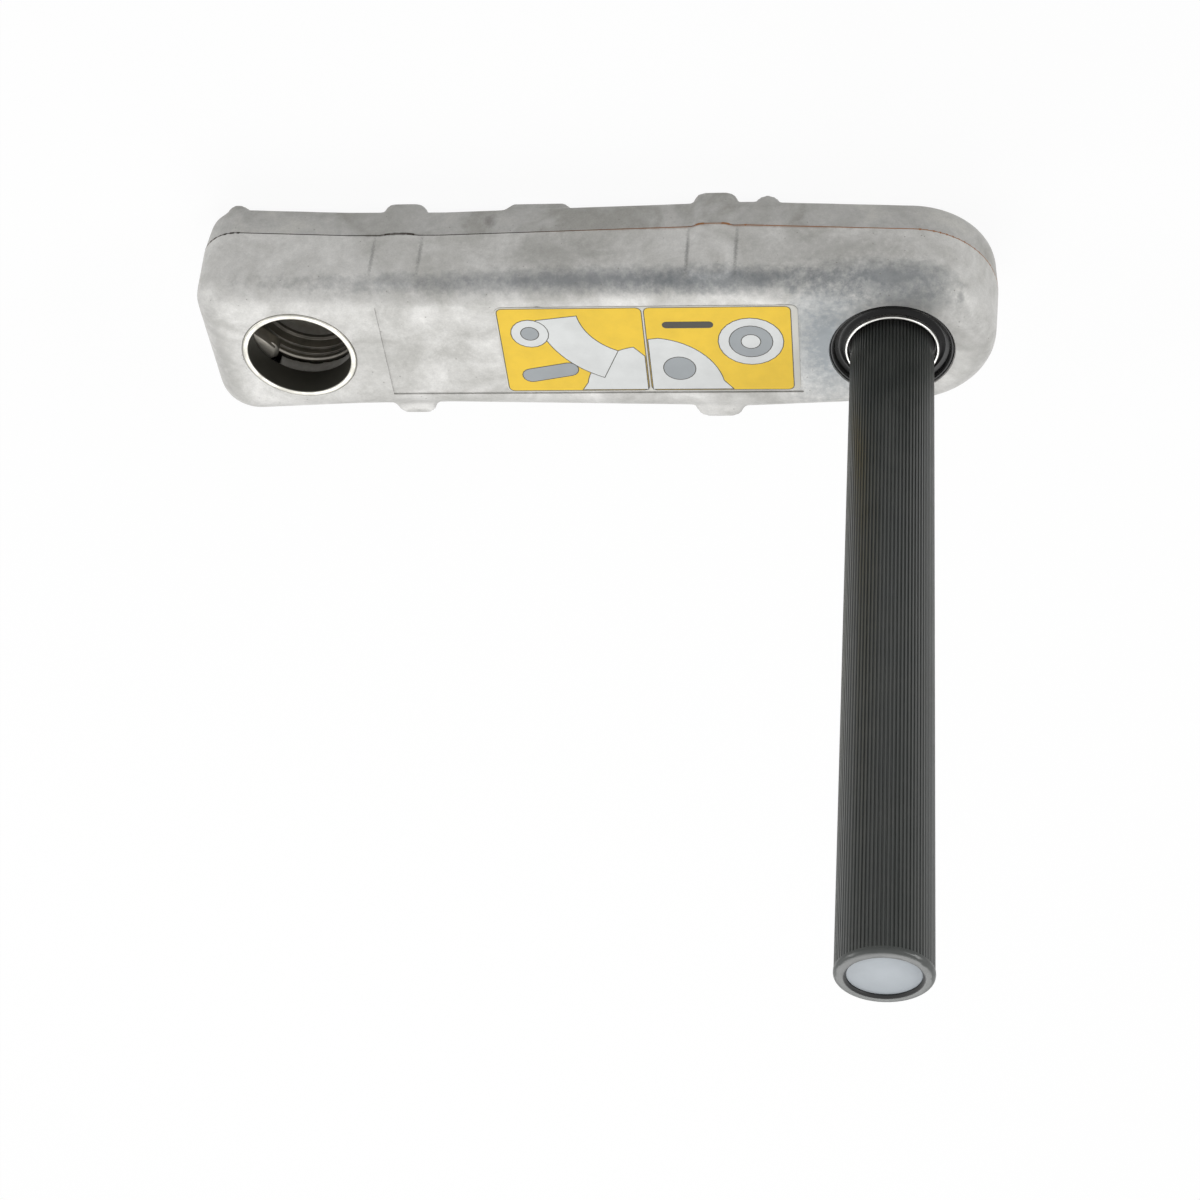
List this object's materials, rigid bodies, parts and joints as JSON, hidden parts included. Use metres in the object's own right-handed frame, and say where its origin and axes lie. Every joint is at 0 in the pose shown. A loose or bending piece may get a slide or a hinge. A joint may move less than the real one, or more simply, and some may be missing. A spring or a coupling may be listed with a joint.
{
  "type": "crank handle",
  "caption": "Hand crank with a die-cast arm, a shaft socket with a kickback release pawl and a long ribbed grip that turns on a ball bearing and drives the release by chain.",
  "frame": {"origin": "Where the socket's axis meets the plane of the feet on the back, in the middle of the round pad under the socket.", "axes": "+Z along the socket's axis and the grip, from the back to the face; +X from the socket to the grip; +Y across the arm."},
  "size_m": [0.2686, 0.0672, 0.2774],
  "materials": {
    "cast_face": "as cast",
    "cast_back": "as cast",
    "sealing_sheet": "matte",
    "machined_steel": "machined",
    "ground_steel": "ground",
    "oiled_steel": "oiled",
    "spring_steel": "oiled",
    "zinc_steel": "zinc plated",
    "bronze": "satin",
    "black_rubber": "matte",
    "dark_grip": "semi-matte",
    "grey_plug": "matte",
    "label_print": "gloss"
  },
  "bodies": {
    "arm": {"front_housing": "cast_face", "rear_cover": "cast_back", "cover_gasket": "sealing_sheet", "cover_screws": "zinc_steel", "dowel_pins": "ground_steel", "hub_sleeve": "machined_steel", "pawl_pin": "ground_steel", "pawl_spring": "spring_steel", "drive_chain": "oiled_steel", "thrust_washer": "bronze", "bearing_outer_ring": "ground_steel", "bearing_shields": "black_rubber", "bearing_circlip": "spring_steel", "grip_seal": "black_rubber", "instruction_label": "label_print"},
    "grip": {"grip_tube": "zinc_steel", "grip_sleeve": "dark_grip", "end_plug": "grey_plug", "grip_sprocket": "oiled_steel", "sprocket_key": "ground_steel", "sprocket_circlip": "spring_steel", "spacer_tube": "zinc_steel", "grip_bush": "bronze", "bearing_inner_ring": "ground_steel", "seal_collar": "machined_steel"},
    "cage": {"bearing_cage": "bronze", "bearing_balls": "ground_steel"},
    "ring": {"control_ring": "oiled_steel"},
    "pawl_body": {"pawl": "ground_steel"},
    "trip": {"trip_ring": "spring_steel"}
  },
  "joints": [
    {"name": "grip_spin", "type": "hinge", "parent": "arm", "child": "grip", "pos_m": [0.2, 0, 0], "axis": [0, 0, 1], "continuous": true, "deforming": ["drive_chain"]},
    {"name": "ring_spin", "type": "hinge", "parent": "arm", "child": "ring", "pos_m": [0, 0, 0], "axis": [0, 0, 1], "continuous": true},
    {"name": "cage_spin", "type": "hinge", "parent": "arm", "child": "cage", "pos_m": [0.2, 0, 0], "axis": [0, 0, 1], "continuous": true},
    {"name": "pawl_swing", "type": "hinge", "parent": "arm", "child": "pawl_body", "pos_m": [-0.02443, 0.00947, 0], "axis": [0, 0, 1], "range_deg": [-14, 0], "stiffness_Nm_per_rad": 0.15, "springref_deg": 11.46, "deforming": ["pawl_spring"]},
    {"name": "trip_turn", "type": "hinge", "parent": "arm", "child": "trip", "pos_m": [0, 0, 0], "axis": [0, 0, 1], "range_deg": [0, 3.4]}
  ],
  "couplings": [
    {"joint": "ring_spin", "follows": "grip_spin", "ratio": 1},
    {"joint": "cage_spin", "follows": "grip_spin", "ratio": 0.429},
    {"joint": "trip_turn", "follows": "pawl_swing", "ratio": -0.2358}
  ]
}
